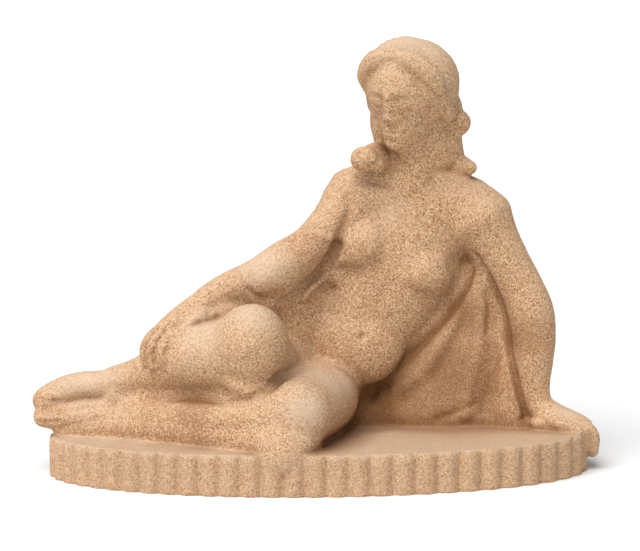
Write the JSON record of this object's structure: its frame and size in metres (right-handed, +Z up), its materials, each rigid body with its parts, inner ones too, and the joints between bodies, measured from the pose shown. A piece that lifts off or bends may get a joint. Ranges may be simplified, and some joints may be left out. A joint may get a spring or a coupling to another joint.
{
  "type": "seated woman sculpture",
  "caption": "Table-top cast-stone sculpture of a seated woman, legs folded to one side, leaning on one hand, with a shawl behind her, on an oval fluted base.",
  "frame": {"origin": "middle of the base's flat underside", "axes": "+X along the oval base towards the propping hand, +Y from the front to the back, +Z up"},
  "size_m": [0.5253, 0.2348, 0.4009],
  "materials": {
    "stone": "rough, sandy, matt cast stone"
  },
  "bodies": {
    "root": {"seated_woman": "stone"}
  },
  "joints": []
}
